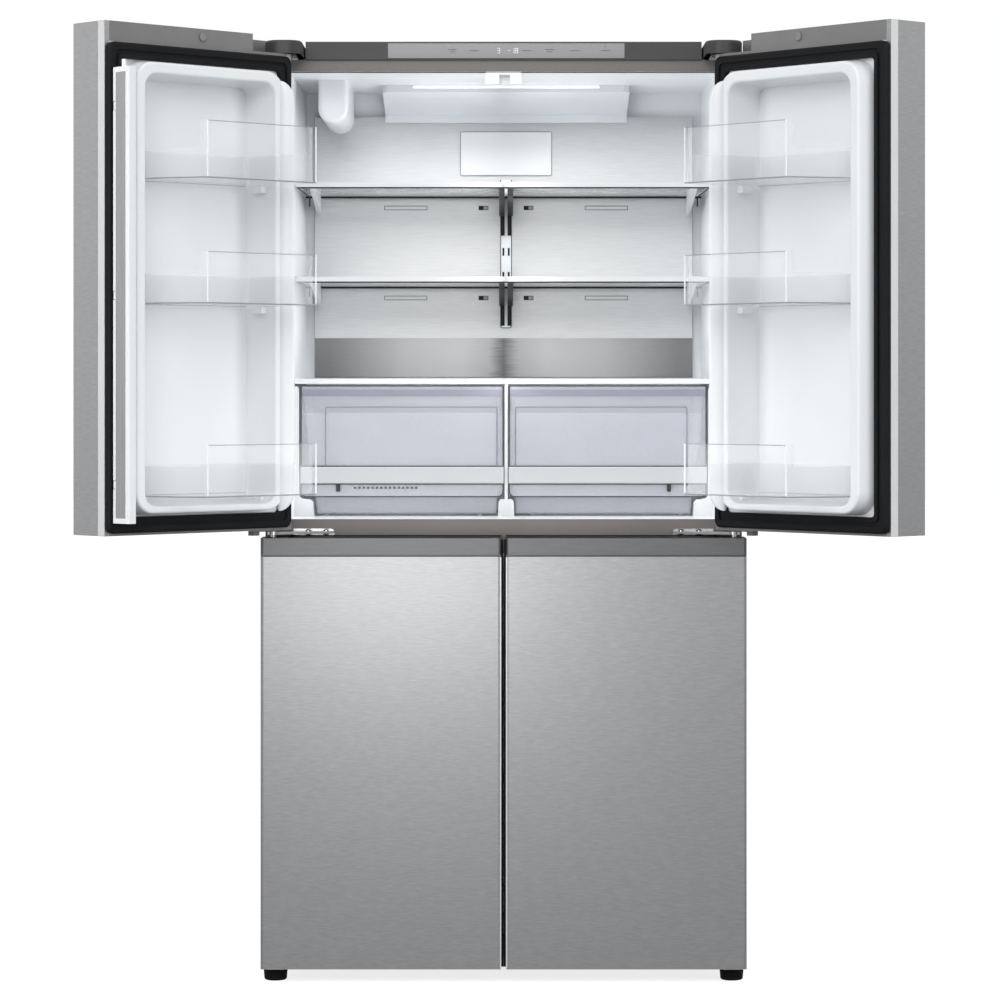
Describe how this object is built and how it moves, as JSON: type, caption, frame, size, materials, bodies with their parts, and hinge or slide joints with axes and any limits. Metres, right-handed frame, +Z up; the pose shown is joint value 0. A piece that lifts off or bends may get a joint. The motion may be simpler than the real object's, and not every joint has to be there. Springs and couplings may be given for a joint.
{
  "type": "french door refrigerator",
  "caption": "French door refrigerator: swing doors over a swing-door freezer, folding centre mullion, glass shelves, lift-off door bins and sliding crisper drawers.",
  "frame": {"origin": "floor level under the middle of the outer box with the upper doors open, on the cabinet's centre plane", "axes": "+Z up, the front faces -Y, +X to the right of someone facing the front"},
  "size_m": [1.5436, 1.0499, 1.776],
  "materials": {
    "door_steel": "fine horizontal brushed grain",
    "cabinet_paint": "satin grey paint",
    "liner_white": "smooth white",
    "cap_grey": "fine matt",
    "cover_dark": "fine matt",
    "gasket_black": "soft matt",
    "bin_clear": "clear moulded",
    "shelf_pane": "tempered clear",
    "trim_white": "satin white",
    "bracket_dark": "satin dark",
    "hinge_metal": "bright plated",
    "display_grey": "smooth glossy",
    "duct_metal": "horizontal brushed grain",
    "lens_white": "translucent",
    "mullion_grey": "satin",
    "foam": "rigid foam",
    "rear_sheet": "zinc coated sheet",
    "foot_black": "matt",
    "roller_plastic": "matt",
    "compressor_black": "satin black",
    "fin_metal": "plain",
    "knob_dark": "matt"
  },
  "bodies": {
    "cabinet": {"air_duct_panel": "duct_metal", "compressor": "compressor_black", "condenser": "fin_metal", "crisper_cover_frame": "trim_white", "display_panel": "display_grey", "door_hinges": "hinge_metal", "evaporator": "fin_metal", "filter_housing": "liner_white", "freezer_back_panel": "liner_white", "freezer_divider": "liner_white", "freezer_drawers": "bin_clear", "freezer_liner": "liner_white", "fridge_liner": "liner_white", "hinge_covers": "cover_dark", "insulation": "foam", "lamp_lens": "lens_white", "levelling_feet": "foot_black", "machine_base": "rear_sheet", "machine_cover": "rear_sheet", "mullion_guide": "liner_white", "outer_cabinet": "cabinet_paint", "rear_panel": "rear_sheet", "shelf_brackets": "bracket_dark", "shelf_front_trims": "trim_white", "shelf_glass": "shelf_pane", "shelf_rail": "liner_white", "top_cover": "cover_dark", "vent_plate": "duct_metal"},
    "left_door": {"left_door_skin": "door_steel", "left_door_end_caps": "cap_grey", "left_door_liner": "liner_white", "left_door_gasket": "gasket_black"},
    "left_upper_bin": {"left_door_upper_bin": "bin_clear"},
    "left_middle_bin": {"left_door_middle_bin": "bin_clear"},
    "left_lower_bin": {"left_door_lower_bin": "bin_clear"},
    "lower_left_door": {"lower_left_door_skin": "door_steel", "lower_left_door_end_caps": "cap_grey", "lower_left_door_liner": "liner_white", "lower_left_door_gasket": "gasket_black"},
    "left_crisper_drawer": {"left_crisper": "bin_clear", "left_crisper_handle": "trim_white"},
    "left_humidity_knob": {"left_humidity_slider": "knob_dark"},
    "right_door": {"right_door_skin": "door_steel", "right_door_end_caps": "cap_grey", "right_door_liner": "liner_white", "right_door_gasket": "gasket_black"},
    "right_upper_bin": {"right_door_upper_bin": "bin_clear"},
    "right_middle_bin": {"right_door_middle_bin": "bin_clear"},
    "right_lower_bin": {"right_door_lower_bin": "bin_clear"},
    "lower_right_door": {"lower_right_door_skin": "door_steel", "lower_right_door_end_caps": "cap_grey", "lower_right_door_liner": "liner_white", "lower_right_door_gasket": "gasket_black"},
    "right_crisper_drawer": {"right_crisper": "bin_clear", "right_crisper_handle": "trim_white"},
    "right_humidity_knob": {"right_humidity_slider": "knob_dark"},
    "mullion": {"mullion_bar": "liner_white", "mullion_face": "mullion_grey"},
    "rollers": {"rear_rollers": "roller_plastic"},
    "fan": {"condenser_fan": "knob_dark"}
  },
  "joints": [
    {"name": "left_door_swing", "type": "hinge", "parent": "cabinet", "child": "left_door", "pos_m": [-0.435, -0.1564, 1.312], "axis": [0, 0, -1], "range_deg": [-135.8, 0]},
    {"name": "right_door_swing", "type": "hinge", "parent": "cabinet", "child": "right_door", "pos_m": [0.435, -0.1564, 1.312], "axis": [0, 0, 1], "range_deg": [-131.9, 0]},
    {"name": "mullion_fold", "type": "hinge", "parent": "left_door", "child": "mullion", "pos_m": [-0.69388, -0.48975, 1.281], "axis": [0, 0, 1], "range_deg": [-90, 0]},
    {"name": "lower_left_door_swing", "type": "hinge", "parent": "cabinet", "child": "lower_left_door", "pos_m": [-0.435, -0.1564, 0.429], "axis": [0, 0, -1], "range_deg": [0, 130]},
    {"name": "lower_right_door_swing", "type": "hinge", "parent": "cabinet", "child": "lower_right_door", "pos_m": [0.435, -0.1564, 0.429], "axis": [0, 0, 1], "range_deg": [0, 130]},
    {"name": "left_crisper_slide", "type": "slide", "parent": "cabinet", "child": "left_crisper_drawer", "axis": [0, -1, 0], "range_m": [0, 0.27]},
    {"name": "left_humidity_slide", "type": "slide", "parent": "left_crisper_drawer", "child": "left_humidity_knob", "axis": [1, 0, 0], "range_m": [-0.024, 0.024]},
    {"name": "left_upper_bin_lift", "type": "slide", "parent": "left_door", "child": "left_upper_bin", "axis": [0, 0, 1], "range_m": [0, 0.05]},
    {"name": "left_middle_bin_lift", "type": "slide", "parent": "left_door", "child": "left_middle_bin", "axis": [0, 0, 1], "range_m": [0, 0.05]},
    {"name": "left_lower_bin_lift", "type": "slide", "parent": "left_door", "child": "left_lower_bin", "axis": [0, 0, 1], "range_m": [0, 0.05]},
    {"name": "right_crisper_slide", "type": "slide", "parent": "cabinet", "child": "right_crisper_drawer", "axis": [0, -1, 0], "range_m": [0, 0.27]},
    {"name": "right_humidity_slide", "type": "slide", "parent": "right_crisper_drawer", "child": "right_humidity_knob", "axis": [-1, 0, 0], "range_m": [-0.024, 0.024]},
    {"name": "right_upper_bin_lift", "type": "slide", "parent": "right_door", "child": "right_upper_bin", "axis": [0, 0, 1], "range_m": [0, 0.05]},
    {"name": "right_middle_bin_lift", "type": "slide", "parent": "right_door", "child": "right_middle_bin", "axis": [0, 0, 1], "range_m": [0, 0.05]},
    {"name": "right_lower_bin_lift", "type": "slide", "parent": "right_door", "child": "right_lower_bin", "axis": [0, 0, 1], "range_m": [0, 0.05]},
    {"name": "roller_roll", "type": "hinge", "parent": "cabinet", "child": "rollers", "pos_m": [0, 0.455, 0.02], "axis": [1, 0, 0], "continuous": true},
    {"name": "fan_spin", "type": "hinge", "parent": "cabinet", "child": "fan", "pos_m": [0, 0.42175, 0.115], "axis": [1, 0, 0], "continuous": true}
  ],
  "couplings": [
    {"joint": "mullion_fold", "follows": "left_door_swing", "ratio": 0.6627}
  ]
}
